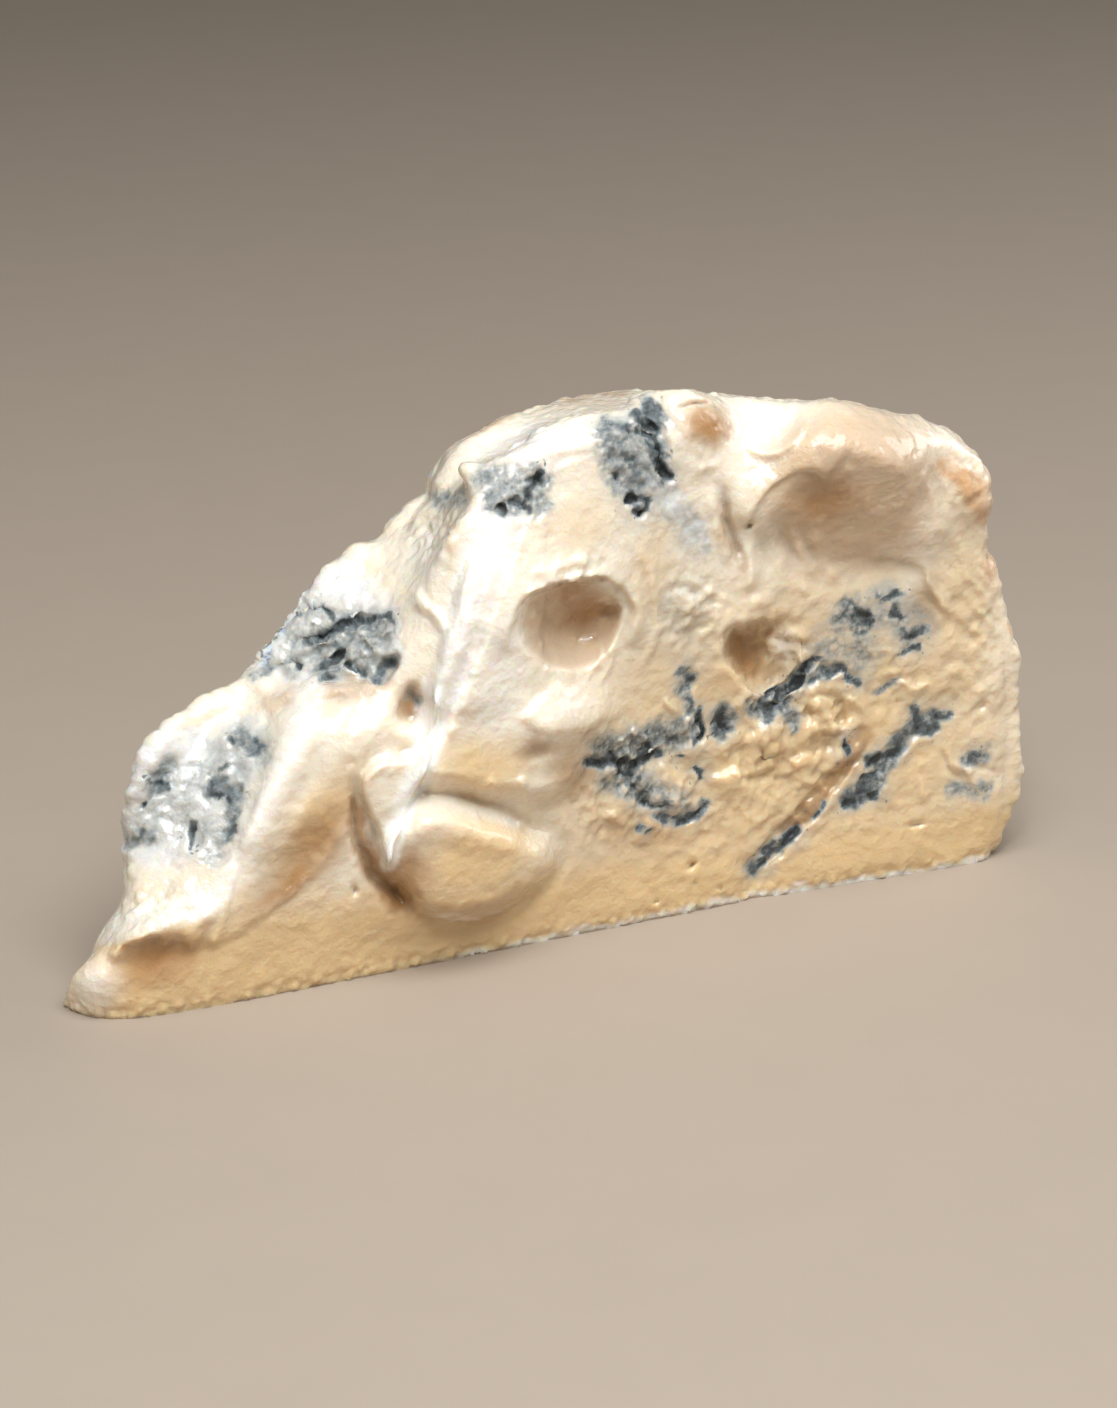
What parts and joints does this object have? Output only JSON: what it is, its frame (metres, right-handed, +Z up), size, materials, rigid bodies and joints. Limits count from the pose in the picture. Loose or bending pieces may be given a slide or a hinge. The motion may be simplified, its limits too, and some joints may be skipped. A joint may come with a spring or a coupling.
{
  "type": "blue cheese wedge",
  "caption": "Slumped wedge of creamy blue cheese with a torn slope at the tip, a scooped hollow, drips, mould seams and a rind on its base and outer end.",
  "frame": {"origin": "bottom centre of the wedge's bounding box, on the surface it stands on", "axes": "+X from the tip to the outer rind, along the front cut; +Y from the front cut to the back cut; +Z up"},
  "size_m": [0.1452, 0.0596, 0.0766],
  "materials": {
    "cheese": "moist, creamy, with blue-grey mould"
  },
  "bodies": {
    "root": {"cheese_wedge": "cheese"}
  },
  "joints": []
}
